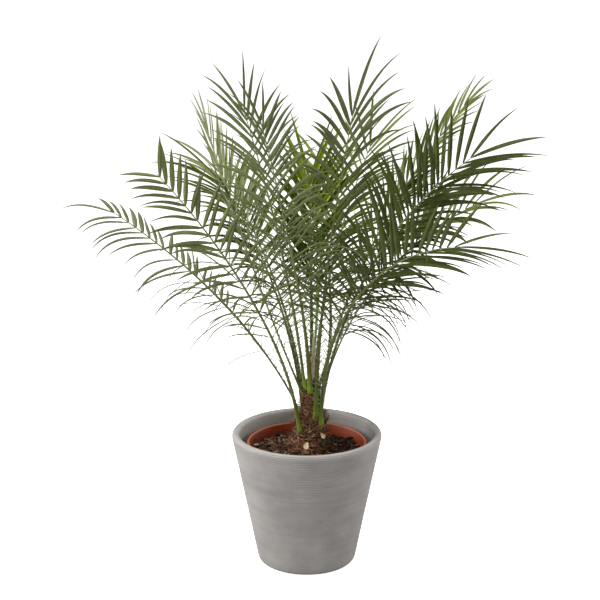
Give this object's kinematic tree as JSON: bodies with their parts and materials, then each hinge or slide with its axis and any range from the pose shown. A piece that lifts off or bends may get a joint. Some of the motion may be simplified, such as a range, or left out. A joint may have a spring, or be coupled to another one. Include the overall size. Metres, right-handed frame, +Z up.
{
  "type": "pygmy date palm",
  "caption": "Small feather-leaved palm with a short fibrous trunk, growing in a plastic nursery pot that stands inside a tapered round planter.",
  "frame": {"origin": "centre of the planter's flat underside", "axes": "+Z is up, the pictured side faces -Y and +X is at its right"},
  "size_m": [0.9165, 0.8076, 1.1028],
  "materials": {
    "planter": "matte, finely ringed",
    "nursery_pot": "matte",
    "soil": "rough, loose",
    "trunk": "rough, fibrous",
    "leaf_green": "satin",
    "leaf_pale": "satin",
    "leaf_young": "satin",
    "dry_bract": "papery",
    "dry_stalk": "dry, fibrous"
  },
  "bodies": {
    "root": {"planter": "planter", "nursery_pot": "nursery_pot", "soil": "soil", "trunk": "trunk", "spear": "leaf_young", "dry_bract": "dry_bract", "dry_stalk": "dry_stalk", "frond_01": "leaf_green", "frond_02": "leaf_green", "frond_03": "leaf_green", "frond_04": "leaf_green", "frond_05": "leaf_green", "frond_06": "leaf_green", "frond_07": "leaf_green", "frond_08": "leaf_green", "frond_09": "leaf_young", "frond_10": "leaf_pale", "frond_11": "leaf_green", "frond_12": "leaf_green", "frond_13": "leaf_green", "frond_14": "leaf_green", "frond_15": "leaf_green"}
  },
  "joints": []
}
